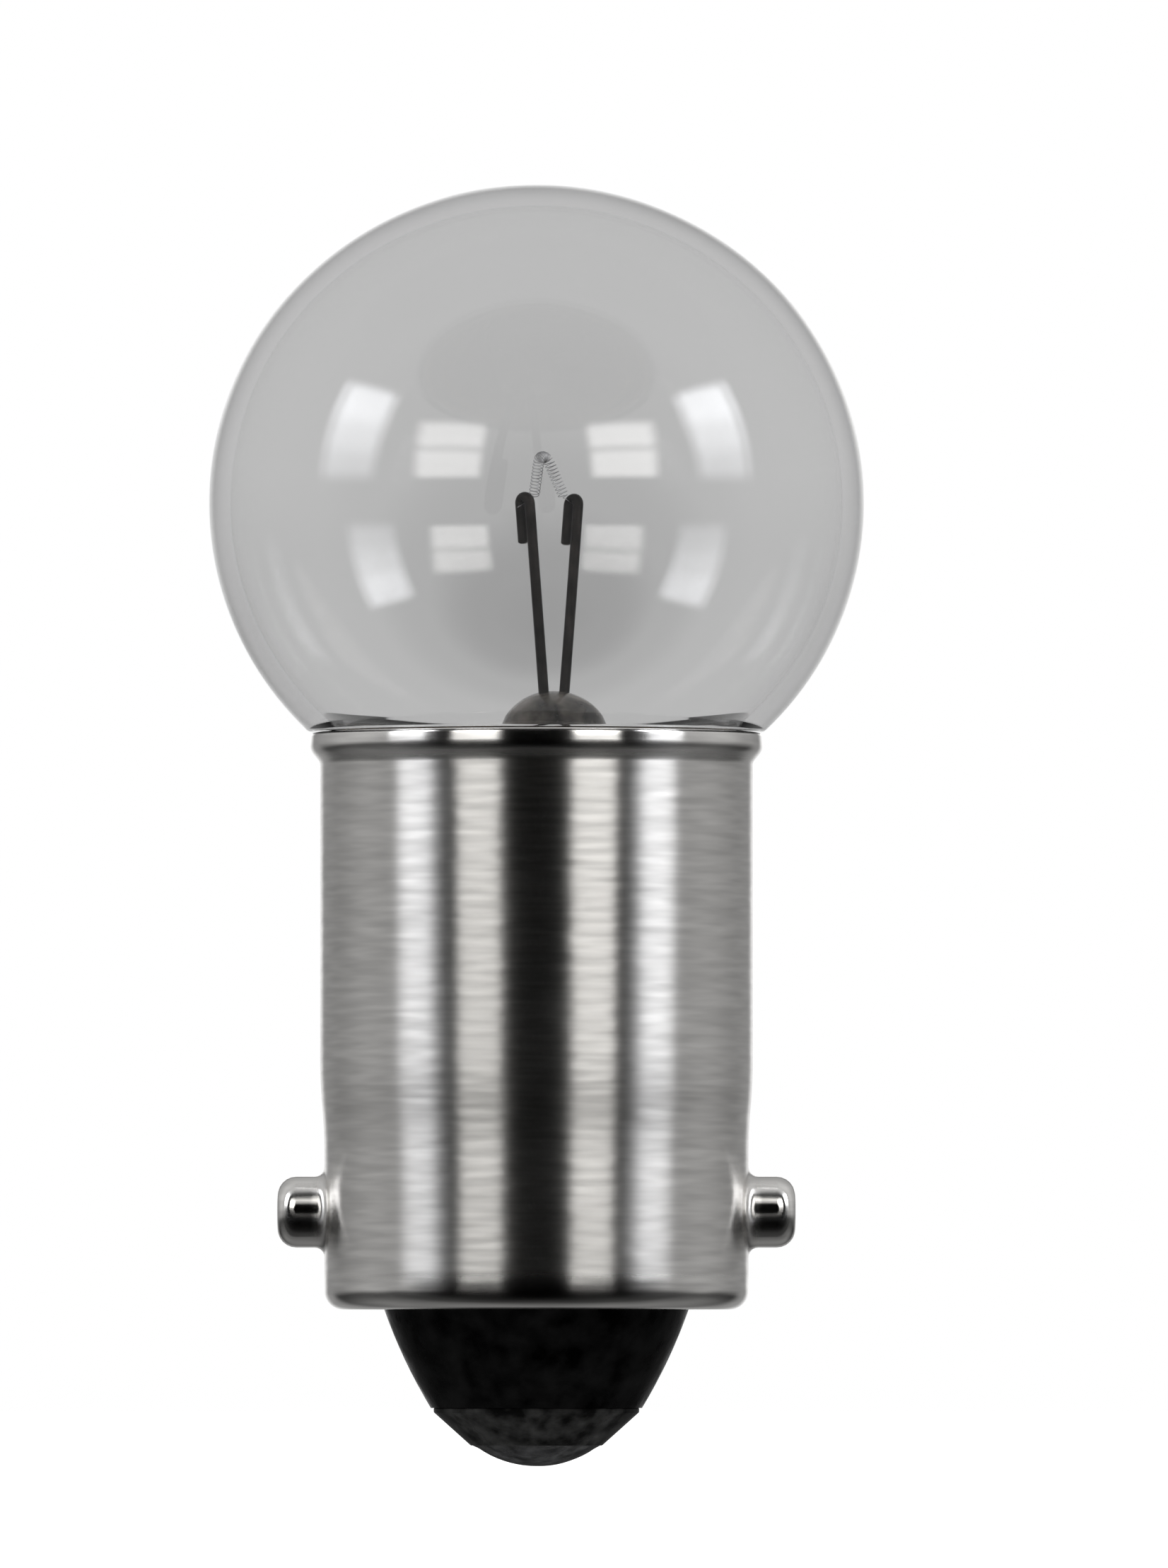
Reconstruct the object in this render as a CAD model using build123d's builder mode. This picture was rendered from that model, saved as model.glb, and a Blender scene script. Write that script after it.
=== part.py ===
from build123d import *
from math import acos, asin, cos, degrees, radians, sin, sqrt
import os

# Miniature bayonet filament lamp. Millimetres, +Z up the lamp.
# The origin is where the bayonet pins' axis, X, crosses the axis of the shell.

# Drawn shell, nickel plated brass
shell_radius = 4.55
shell_wall = 0.25
shell_rise = 10.07
foot_depth = 2.05
foot_radius = 4.46
foot_corner = 0.40
foot_opening_radius = 3.20
waist_low = 1.20
waist_high = 3.20
lip_overhang = 0.22
lip_face_height = 0.36
lip_flare_height = 0.25
lip_lean = 0.02
lip_root_fillet = 0.18
lip_edge_fillet = 0.30
lip_top_fillet = 0.09
lip_mouth_fillet = 0.11

# Bayonet pins, pressed out of the shell's wall
pin_radius = 0.75
pin_span = 10.90
pin_wall = 0.25
pin_edge_fillet = 0.40
pin_root_fillet = 0.20

# Lead wires
lead_diameter = 0.22
wire_clearance = 0.04
mount_turn = 45.0
mount_offset = 0.37
bead_spread = 0.29
clamp_spread = 0.735
clamp_above_globe_centre = 0.11
clamp_fold = 0.95
fold_share = 0.49
seal_spread = 1.60
route_bend = 0.50
seal_bend = 0.80
bead_bend = 1.60

# Glass globe with neck, seal and exhaust stub
globe_radius = 6.895
globe_flat = 0.185
globe_wall = 0.45
mouth_wall = 0.15
mouth_fillet = 0.35
floor_fillet = 0.18
globe_overhang = 0.03
globe_edge_fillet = 0.14
lip_gap = 0.03
neck_fillet = 0.27
neck_wall = 0.45
neck_length = 8.10
neck_corner = 1.60
seal_thickness = 1.00
seal_corner = 0.90
stub_radius = 1.00
stub_bore_radius = 0.45
stub_length = 1.65
stub_tip_height = 0.75
stub_tip_wall = 0.45
stub_fillet = 0.30

# Glass bead
bead_radius = 1.30
bead_drop = 0.42

# Filament, coiled in an inverted V
coil_diameter = 0.24
coil_spread = 0.46
coil_bend = 0.16
coil_foot_drop = 0.03
filament_wire = 0.05
filament_above_globe_centre = 1.25
filament_lean = 0.25
clamp_clearance = 0.005
tail_overrun = 0.20
tail_bend = 0.05

# Black glass insulator
insulator_disc = 0.90
insulator_length = 2.07
insulator_tip_radius = 2.22
insulator_bulge = 0.06
insulator_bore_radius = 0.40

# Contact eyelet and its solder
eyelet_radius = 2.16
eyelet_rim_height = 0.09
eyelet_height = 0.79
eyelet_face_radius = 1.38
eyelet_wall = 0.25
eyelet_rim_width = 0.37
eyelet_hole_radius = 0.60
dome_radius = 1.34
dome_height = 0.46
wire_end_depth = 0.11

# Basing cement
cement_top_gap = 0.55
cement_foot_gap = 0.10

# Side wire's way out through the lip, and its solder
notch_clearance = 0.05
side_wire_drop = 0.45
side_wire_reach = 0.08
side_wire_gap = 0.40
knee_above_waist = 0.40
solder_radius = 0.72
solder_sink = 0.20

# Shell and neck radii and heights that follow from the sizes above
lead_radius = lead_diameter / 2
shell_inner_radius = shell_radius - shell_wall
foot_inner_radius = foot_radius - shell_wall
foot_floor = shell_wall - foot_depth
lip_radius = shell_radius + lip_overhang
lip_edge = shell_rise - lip_face_height
lip_root = lip_edge - lip_flare_height
cement_gap = lead_diameter + 2 * wire_clearance
neck_radius = shell_inner_radius - cement_gap
neck_inner_radius = neck_radius - neck_wall

# Globe: a flatter crown arc centred on the axis, and a side arc that meets it at 45 degrees
joint_angle = 45.0
arc_shift = globe_flat * (1 + sqrt(0.5))
side_radius = globe_radius - arc_shift
crown_radius = globe_radius - globe_flat + arc_shift
shoulder = shell_rise + lip_gap
shoulder_radius = lip_radius + globe_overhang
shoulder_turn = degrees(acos((shoulder_radius - arc_shift) / side_radius))
globe_centre = shoulder + side_radius * sin(radians(shoulder_turn))
cavity_side_radius = side_radius - globe_wall
cavity_floor = shoulder + mouth_wall
cavity_turn = degrees(asin((globe_centre - cavity_floor) / cavity_side_radius))
cavity_floor_radius = arc_shift + cavity_side_radius * cos(radians(cavity_turn))

# Seal, stub, bead and clamp heights
seal_foot = shoulder - neck_length
seal_floor = seal_foot + seal_thickness
stub_tip = seal_foot - stub_length
stub_shoulder = stub_tip + stub_tip_height
filament_apex = globe_centre + filament_above_globe_centre
clamp_top = globe_centre + clamp_above_globe_centre
bead_centre = shoulder - bead_drop

# Insulator and contact heights
insulator_top = foot_floor + insulator_disc
insulator_foot = -foot_depth - insulator_length
eyelet_rim = insulator_foot - eyelet_rim_height
eyelet_face = insulator_foot - eyelet_height
eyelet_floor = eyelet_face + eyelet_wall
eyelet_taper = (eyelet_radius - eyelet_face_radius) / (eyelet_rim - eyelet_face)
nose_radius = eyelet_radius - eyelet_rim_width
nose_face_radius = nose_radius - eyelet_taper * (insulator_foot - eyelet_floor)
contact_tip = eyelet_face - dome_height

# Way out of the side wire
side_wire_height = shell_rise - side_wire_drop
side_wire_foot = foot_inner_radius - lead_radius - side_wire_gap
notch_floor = side_wire_height - lead_radius - notch_clearance

# Directions of the wire mount: across it, and the way the wire ends are folded
across = Vector(cos(radians(mount_turn)), sin(radians(mount_turn)), 0)
fold = Vector(-sin(radians(mount_turn)), cos(radians(mount_turn)), 0)
fold_step = lead_diameter + filament_wire + 2 * clamp_clearance
fold_bend = fold_share * fold_step
clamp_bends = [seal_bend, bead_bend, bead_bend, fold_bend, fold_bend]


def axis_point(reach, rise):
    """Point in the upright plane of the wire mount, measured from the lamp's axis."""
    return across * reach + Vector(0, 0, rise)


def mount_point(reach, rise, aside=0.0):
    """Point on the wire mount, which stands a little to one side of the axis."""
    return axis_point(reach, rise) + fold * aside + Vector(mount_offset, 0, 0)


def clamp_route(side):
    """Upper route of a lead: seal, bead, clamp and the end folded down beside it."""
    above_seal = axis_point(side * seal_spread, seal_floor + seal_corner)
    below_bead = mount_point(side * bead_spread, bead_centre - bead_radius - lead_diameter)
    in_bead_top = mount_point(side * bead_spread, bead_centre + bead_radius - lead_diameter)
    bend = mount_point(side * clamp_spread, clamp_top)
    folded = bend + fold * fold_step
    run = (bend - in_bead_top).normalized()
    return [above_seal, below_bead, in_bead_top, bend, folded, folded - run * clamp_fold]


def ring(builder, radius, height):
    """Round edge of a turned piece, by its radius and height."""
    circles = builder.edges().filter_by(GeomType.CIRCLE)
    return circles.sort_by(lambda e: abs(e.radius - radius) + abs(e.arc_center.Z - height))[0]


def waist_bend(start, end):
    """Two equal arcs in the lathe's plane that join one upright line to another."""
    middle = (start + end) / 2
    first = TangentArc(start, middle, tangent=Vector(0, end.Y - start.Y))
    return TangentArc(middle, end, tangent=first % 1)


def cap_radius(base_radius, height):
    """Radius of the sphere whose cap has this base and height."""
    return (base_radius**2 + height**2) / (2 * height)


# Shell: one drawn piece with a rolled lip, pressed-out pins and a nick for the side wire
with BuildPart() as base_shell:
    with BuildSketch(Plane.XZ):
        with BuildLine():
            foot = FilletPolyline(
                (foot_opening_radius, -foot_depth),
                (foot_radius, -foot_depth),
                (foot_radius, waist_low),
                radius=foot_corner,
            )
            waist = waist_bend(foot @ 1, Vector(shell_radius, waist_high))
            lip = FilletPolyline(
                waist @ 1,
                (shell_radius, lip_root),
                (lip_radius, lip_edge),
                (lip_radius - lip_lean, shell_rise),
                (shell_radius - lip_lean, shell_rise),
                radius=[lip_root_fillet, lip_edge_fillet, lip_top_fillet],
            )
            mouth = FilletPolyline(
                lip @ 1,
                (shell_inner_radius, shell_rise),
                (shell_inner_radius, waist_high),
                radius=lip_mouth_fillet,
            )
            waist_inside = waist_bend(mouth @ 1, Vector(foot_inner_radius, waist_low))
            foot_inside = FilletPolyline(
                waist_inside @ 1,
                (foot_inner_radius, foot_floor),
                (foot_opening_radius, foot_floor),
                radius=foot_corner - shell_wall,
            )
            Line(foot_inside @ 1, foot @ 0)
        make_face()
    revolve(axis=Axis.Z)
    for side in (1, -1):
        with BuildSketch(Plane(origin=(side * (foot_radius - shell_wall / 2), 0, 0), z_dir=(side, 0, 0))):
            Circle(pin_radius)
        extrude(amount=pin_span / 2 - foot_radius + shell_wall / 2)
        pin_edges = base_shell.edges().filter_by(lambda e: side * e.center().X > foot_inner_radius)
        root = pin_edges.filter_by(lambda e: e.geom_type not in (GeomType.CIRCLE, GeomType.LINE))
        fillet(root, pin_root_fillet)
        end_face = base_shell.faces().sort_by(Axis.X)[-1 if side > 0 else 0]
        fillet(end_face.edges(), pin_edge_fillet)
        with BuildSketch(Plane(origin=(side * foot_opening_radius, 0, 0), z_dir=(side, 0, 0))):
            Circle(pin_radius - pin_wall)
        extrude(amount=pin_span / 2 - pin_wall - foot_opening_radius, mode=Mode.SUBTRACT)
    with BuildSketch(Plane(origin=(0, 0, notch_floor), x_dir=across, z_dir=(0, 0, 1))):
        with Locations((shell_radius, 0)):
            Rectangle(2 * (shell_wall + lip_overhang), lead_diameter + 2 * notch_clearance)
    extrude(amount=shell_rise - notch_floor, mode=Mode.SUBTRACT)
base_shell.part.label = "base_shell"

# Lead wire to the centre contact
with BuildPart() as lead_wire_contact:
    with BuildLine():
        contact_route = FilletPolyline(
            axis_point(0, eyelet_face - wire_end_depth),
            axis_point(0, insulator_top + lead_diameter),
            axis_point(-seal_spread, stub_tip + route_bend),
            *clamp_route(-1),
            radius=[route_bend, route_bend] + clamp_bends,
        )
    with BuildSketch(Plane(origin=contact_route @ 0, z_dir=contact_route % 0)):
        Circle(lead_radius)
    sweep()
lead_wire_contact.part.label = "lead_wire_contact"

# Lead wire to the shell: out under the seal, up beside the neck and out through the lip
with BuildPart() as lead_wire_shell:
    with BuildLine():
        shell_route = FilletPolyline(
            axis_point(lip_radius + side_wire_reach, side_wire_height),
            axis_point(neck_radius + cement_gap / 2, side_wire_height),
            axis_point(neck_radius + cement_gap / 2, waist_high + knee_above_waist),
            axis_point(side_wire_foot, stub_tip + route_bend),
            axis_point(seal_spread, stub_tip + route_bend),
            *clamp_route(1),
            radius=[lead_diameter, route_bend, route_bend, route_bend] + clamp_bends,
        )
    with BuildSketch(Plane(origin=shell_route @ 0, z_dir=shell_route % 0)):
        Circle(lead_radius)
    sweep()
lead_wire_shell.part.label = "lead_wire_shell"

# Glass envelope: oblate globe, neck, seal round the leads, tipped-off exhaust stub
with BuildPart() as glass_globe:
    with BuildSketch(Plane.XZ):
        with BuildLine():
            crown = CenterArc((0, globe_centre - arc_shift), crown_radius, 90, joint_angle - 90)
            flank = CenterArc(
                (arc_shift, globe_centre), side_radius, joint_angle, -joint_angle - shoulder_turn
            )
            neck = Polyline(
                flank @ 1,
                (neck_radius, shoulder),
                (neck_radius, seal_foot),
                (stub_radius, seal_foot),
                (stub_radius, stub_shoulder),
            )
            tip = RadiusArc(neck @ 1, (0, stub_tip), cap_radius(stub_radius, stub_tip_height))
            Line(tip @ 1, crown @ 0)
        make_face()
    revolve(axis=Axis.Z)
    fillet(ring(glass_globe, shoulder_radius, shoulder), globe_edge_fillet)
    fillet(ring(glass_globe, neck_radius, shoulder), neck_fillet)
    fillet(ring(glass_globe, neck_radius, seal_foot), neck_corner)
    fillet(ring(glass_globe, stub_radius, seal_foot), stub_fillet)
    with BuildSketch(Plane.XZ):
        with BuildLine():
            roof = CenterArc(
                (0, globe_centre - arc_shift), crown_radius - globe_wall, 90, joint_angle - 90
            )
            lining = CenterArc(
                (arc_shift, globe_centre), cavity_side_radius, joint_angle, -joint_angle - cavity_turn
            )
            bore = Polyline(
                lining @ 1,
                (neck_inner_radius, cavity_floor),
                (neck_inner_radius, seal_floor),
                (stub_bore_radius, seal_floor),
                (stub_bore_radius, stub_shoulder),
            )
            bore_tip = stub_tip + stub_tip_wall
            bore_end = RadiusArc(
                bore @ 1, (0, bore_tip), cap_radius(stub_bore_radius, stub_shoulder - bore_tip)
            )
            Line(bore_end @ 1, roof @ 0)
        make_face()
    revolve(axis=Axis.Z, mode=Mode.SUBTRACT)
    fillet(ring(glass_globe, cavity_floor_radius, cavity_floor), floor_fillet)
    fillet(ring(glass_globe, neck_inner_radius, cavity_floor), mouth_fillet)
    fillet(ring(glass_globe, neck_inner_radius, seal_floor), seal_corner)
    add(lead_wire_contact.part, mode=Mode.SUBTRACT)
    add(lead_wire_shell.part, mode=Mode.SUBTRACT)
glass_globe.part.label = "glass_globe"

# Bead of glass formed round both leads
with BuildPart() as glass_bead:
    with Locations(mount_point(0, bead_centre)):
        Sphere(bead_radius)
    add(lead_wire_contact.part, mode=Mode.SUBTRACT)
    add(lead_wire_shell.part, mode=Mode.SUBTRACT)
glass_bead.part.label = "glass_bead"

# Filament: the coil's envelope, with a straight tail through each clamp
with BuildPart() as filament:
    aside = fold_step / 2
    apex = mount_point(0, filament_apex, aside + filament_lean)
    coil_feet = [mount_point(s * coil_spread, clamp_top - coil_foot_drop, aside) for s in (-1, 1)]
    with BuildLine():
        coil_route = FilletPolyline(coil_feet[0], apex, coil_feet[1], radius=coil_bend)
    with BuildSketch(Plane(origin=coil_route @ 0, z_dir=coil_route % 0)):
        Circle(coil_diameter / 2)
    sweep()
    for side, foot in zip((-1, 1), coil_feet):
        with BuildLine():
            tail_route = FilletPolyline(
                mount_point(side * (clamp_spread + tail_overrun), clamp_top - lead_diameter, aside),
                mount_point(side * (coil_spread + tail_bend), clamp_top - lead_diameter, aside),
                foot + (apex - foot).normalized() * tail_bend,
                radius=tail_bend,
            )
        with BuildSketch(Plane(origin=tail_route @ 0, z_dir=tail_route % 0)):
            Circle(filament_wire / 2)
        sweep()
filament.part.label = "filament"

# Black glass insulator: disc in the foot, cone below it, nose inside the eyelet
with BuildPart() as base_insulator:
    with BuildSketch(Plane.XZ):
        with BuildLine():
            disc = FilletPolyline(
                (insulator_bore_radius, insulator_top),
                (foot_inner_radius, insulator_top),
                (foot_inner_radius, foot_floor),
                (foot_opening_radius, foot_floor),
                (foot_opening_radius, -foot_depth),
                radius=[0, foot_corner - shell_wall, 0],
            )
            cone = SagittaArc(disc @ 1, (insulator_tip_radius, insulator_foot), insulator_bulge)
            Polyline(
                cone @ 1,
                (nose_radius, insulator_foot),
                (nose_face_radius, eyelet_floor),
                (insulator_bore_radius, eyelet_floor),
                disc @ 0,
            )
        make_face()
    revolve(axis=Axis.Z)
base_insulator.part.label = "base_insulator"

# Contact eyelet: pressed cup over the insulator's nose
with BuildPart() as contact_eyelet:
    with BuildSketch(Plane.XZ):
        with BuildLine():
            Polyline(
                (nose_radius, insulator_foot),
                (eyelet_radius, insulator_foot),
                (eyelet_radius, eyelet_rim),
                (eyelet_face_radius, eyelet_face),
                (eyelet_hole_radius, eyelet_face),
                (eyelet_hole_radius, eyelet_floor),
                (nose_face_radius, eyelet_floor),
                close=True,
            )
        make_face()
    revolve(axis=Axis.Z)
contact_eyelet.part.label = "contact_eyelet"

# Solder dome on the eyelet, filling its hole round the wire's end
with BuildPart() as contact_solder:
    with BuildSketch(Plane.XZ):
        with BuildLine():
            plug = Polyline(
                (0, contact_tip),
                (0, eyelet_floor),
                (eyelet_hole_radius, eyelet_floor),
                (eyelet_hole_radius, eyelet_face),
                (dome_radius, eyelet_face),
            )
            RadiusArc(plug @ 1, plug @ 0, cap_radius(dome_radius, dome_height))
        make_face()
    revolve(axis=Axis.Z)
    add(lead_wire_contact.part, mode=Mode.SUBTRACT)
contact_solder.part.label = "contact_solder"

# Basing cement: ring between neck and shell, open where the side wire runs
with BuildPart() as basing_cement:
    cement_foot = max(seal_foot + neck_corner, waist_high) + cement_foot_gap
    cement_height = shell_rise - cement_top_gap - cement_foot
    with BuildSketch(Plane.XY.offset(cement_foot)):
        Circle(shell_inner_radius)
        Circle(neck_radius, mode=Mode.SUBTRACT)
    extrude(amount=cement_height)
    with BuildSketch(Plane(origin=(0, 0, cement_foot), x_dir=across, z_dir=(0, 0, 1))):
        with Locations((neck_radius + cement_gap / 2, 0)):
            Rectangle(2 * cement_gap, cement_gap)
    extrude(amount=cement_height, mode=Mode.SUBTRACT)
basing_cement.part.label = "basing_cement"

# Solder drop over the side wire where it comes out through the lip
with BuildPart() as shell_solder:
    with Locations(axis_point(shell_radius - solder_sink, notch_floor)):
        Sphere(solder_radius)
    with BuildSketch(Plane.XY.offset(waist_high)):
        Circle(shell_inner_radius)
    extrude(amount=shoulder - waist_high, mode=Mode.SUBTRACT)
    add(base_shell.part, mode=Mode.SUBTRACT)
    add(glass_globe.part, mode=Mode.SUBTRACT)
    add(lead_wire_shell.part, mode=Mode.SUBTRACT)
shell_solder.part.label = "shell_solder"

os.makedirs("parts", exist_ok=True)
export_step(base_shell.part, "parts/base_shell.step")
export_step(lead_wire_contact.part, "parts/lead_wire_contact.step")
export_step(lead_wire_shell.part, "parts/lead_wire_shell.step")
export_step(glass_globe.part, "parts/glass_globe.step")
export_step(glass_bead.part, "parts/glass_bead.step")
export_step(filament.part, "parts/filament.step")
export_step(base_insulator.part, "parts/base_insulator.step")
export_step(contact_eyelet.part, "parts/contact_eyelet.step")
export_step(contact_solder.part, "parts/contact_solder.step")
export_step(basing_cement.part, "parts/basing_cement.step")
export_step(shell_solder.part, "parts/shell_solder.step")
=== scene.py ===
from math import asin, atan2, ceil, cos, degrees, inf, pi, radians, sin, sqrt, tan, tau

import bmesh
import bpy
from bpy.props import FloatProperty, FloatVectorProperty, IntProperty, PointerProperty
from mathutils import Matrix, Quaternion, Vector, noise


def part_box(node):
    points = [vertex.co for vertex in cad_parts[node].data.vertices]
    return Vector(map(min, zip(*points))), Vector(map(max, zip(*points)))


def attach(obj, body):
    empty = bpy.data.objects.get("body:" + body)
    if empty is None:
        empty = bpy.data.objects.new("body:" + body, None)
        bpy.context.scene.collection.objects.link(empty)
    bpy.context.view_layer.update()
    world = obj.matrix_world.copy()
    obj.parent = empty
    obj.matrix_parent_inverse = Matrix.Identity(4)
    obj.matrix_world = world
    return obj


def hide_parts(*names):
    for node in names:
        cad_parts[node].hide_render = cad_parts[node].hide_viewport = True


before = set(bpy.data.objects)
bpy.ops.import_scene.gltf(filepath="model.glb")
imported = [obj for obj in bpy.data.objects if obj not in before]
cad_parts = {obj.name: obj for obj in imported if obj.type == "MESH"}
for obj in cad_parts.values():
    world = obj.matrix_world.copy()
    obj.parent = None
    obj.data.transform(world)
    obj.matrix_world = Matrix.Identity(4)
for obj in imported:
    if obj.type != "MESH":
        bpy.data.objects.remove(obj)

bl_info = {
    "name": "Bayonet bulb",
    "version": (1, 0, 0),
    "blender": (4, 5, 0),
    "location": "3D View > Sidebar > Bulb",
    "description": "Dresses a miniature bayonet filament bulb and sets its studio stage",
    "category": "Object",
}

MM = 0.001
CROWN_JOINT = 45  # degrees above the globe's middle where its crown and side arcs meet
MIX_FIRST, MIX_SECOND, MIX_RESULT = 6, 7, 2  # places of the colour sockets on a Mix node
DULL = {"Specular_IOR_Level": 0.15, "Specular_Tint": (0.15, 0.15, 0.15, 1.0)}
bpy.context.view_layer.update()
SHELL_LOW, SHELL_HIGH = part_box("base_shell")
GLOBE_LOW, GLOBE_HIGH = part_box("glass_globe")
CEMENT_LOW, CEMENT_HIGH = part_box("basing_cement")
INSULATOR_LOW, INSULATOR_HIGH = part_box("base_insulator")
EYELET_LOW, EYELET_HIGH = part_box("contact_eyelet")
DOME_LOW, DOME_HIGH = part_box("contact_solder")


def length(name, description, metres):
    """A size of the bulb, in metres."""
    return FloatProperty(name=name, description=description, default=metres, precision=6, unit="LENGTH")


def angle(name, description, turn):
    """An angle, given in degrees."""
    return FloatProperty(name=name, description=description, default=radians(turn), subtype="ANGLE")


def ratio(name, description, value):
    """A share between nothing and the whole."""
    return FloatProperty(name=name, description=description, default=value, min=0.0, max=1.0)


def number(name, description, value, least=6):
    """A number of sides, rows or steps."""
    return IntProperty(name=name, description=description, default=value, min=least)


def colour(name, description, value):
    """A finish's base colour, linear."""
    return FloatVectorProperty(
        name=name, description=description, default=value, size=3, min=0.0, max=1.0, subtype="COLOR"
    )


class ShellSizes(bpy.types.PropertyGroup):
    """Drawn shell with its flared lip and pressed pins."""

    foot: length("Foot height", "Lowest face of the shell", SHELL_LOW.z)
    rise: length("Lip height", "Top of the flared lip", SHELL_HIGH.z)
    radius: length("Wall radius", "Outside of the straight wall", 4.55 * MM)
    pin_reach: length("Pin reach", "Pin end from the axis", SHELL_HIGH.x)
    wall: length("Wall", "Thickness of the drawn sheet", 0.25 * MM)
    lip_overhang: length("Lip overhang", "How far the lip stands out of the wall", 0.22 * MM)
    lip_face: length("Lip face", "Height of the lip's upright face", 0.36 * MM)
    lip_flare: length("Lip flare", "Height of the flare under the lip", 0.25 * MM)
    lip_lean: length("Lip lean", "How far the lip's face leans in", 0.02 * MM)
    lip_root: length("Lip root", "Rounding where the flare leaves the wall", 0.18 * MM)
    lip_edge: length("Lip edge", "Rounding at the lip's lower edge", 0.30 * MM)
    lip_top: length("Lip top", "Rounding at the lip's upper edge", 0.09 * MM)
    lip_mouth: length("Lip mouth", "Rounding at the lip's inner edge", 0.11 * MM)
    foot_radius: length("Foot radius", "Outside of the narrower foot", 4.46 * MM)
    foot_corner: length("Foot corner", "Rounding at the foot's edge", 0.40 * MM)
    opening: length("Opening radius", "Hole in the foot for the insulator", 3.20 * MM)
    waist_low: length("Waist start", "Height where the foot starts to widen", 1.20 * MM)
    waist_high: length("Waist end", "Height where the full width is reached", 3.20 * MM)
    pin_radius: length("Pin radius", "Half of a pin's diameter", 0.75 * MM)
    pin_wall: length("Pin wall", "Sheet left at a pin's wall and end", 0.25 * MM)
    pin_edge: length("Pin edge", "Rounding at a pin's end", 0.40 * MM)
    pin_root: length("Pin root", "Rounding where a pin leaves the wall", 0.20 * MM)
    pin_patch: length("Pin patch", "Half height of the wall's patch round a pin", 1.15 * MM)
    notch_width: length("Nick width", "Nick in the lip for the side wire", 0.32 * MM)
    notch_floor: length("Nick floor", "Height of the nick's floor", 9.46 * MM)


class GlassSizes(bpy.types.PropertyGroup):
    """Blown globe with neck, seal and stub, and the bead inside it."""

    radius: length("Globe radius", "Outside of the globe", min(GLOBE_HIGH.x, GLOBE_HIGH.y))
    top: length("Globe top", "Height of the globe's top", GLOBE_HIGH.z)
    stub_tip: length("Stub tip", "Lowest point of the tipped-off stub", GLOBE_LOW.z)
    flat: length("Flattening", "How much lower than round the globe is", 0.185 * MM)
    wall: length("Globe wall", "Thickness of the globe", 0.45 * MM)
    edge: length("Shoulder edge", "Rounding of the globe's lower edge", 0.14 * MM)
    lip_gap: length("Lip gap", "Space between the globe and the lip", 0.03 * MM)
    mouth_wall: length("Mouth wall", "Glass over the shoulder's flat underside", 0.15 * MM)
    floor_round: length("Floor rounding", "Rounding at the bottom of the hollow", 0.18 * MM)
    mouth_round: length("Mouth rounding", "Rounding at the neck's mouth", 0.35 * MM)
    neck_radius: length("Neck radius", "Outside of the neck", 4.0 * MM)
    neck_wall: length("Neck wall", "Thickness of the neck", 0.45 * MM)
    neck_fillet: length("Neck fillet", "Rounding under the shoulder", 0.27 * MM)
    neck_length: length("Neck length", "From the shoulder to the seal's foot", 8.10 * MM)
    neck_corner: length("Neck corner", "Rounding at the seal's foot", 1.60 * MM)
    seal: length("Seal", "Thickness of the glass that closes the neck", 1.0 * MM)
    seal_corner: length("Seal corner", "Rounding inside the closed neck", 0.90 * MM)
    stub_radius: length("Stub radius", "Outside of the exhaust stub", 1.0 * MM)
    stub_bore: length("Stub bore", "Inside of the exhaust stub", 0.45 * MM)
    stub_fillet: length("Stub fillet", "Rounding where the stub leaves the seal", 0.30 * MM)
    stub_cap: length("Stub cap", "Height of the stub's melted tip", 0.75 * MM)
    stub_cap_wall: length("Stub cap wall", "Glass at the melted tip", 0.45 * MM)
    bead_radius: length("Bead radius", "Half of the bead's diameter", 1.30 * MM)
    bead_drop: length("Bead drop", "Bead's centre below the globe's shoulder", 0.42 * MM)


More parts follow.
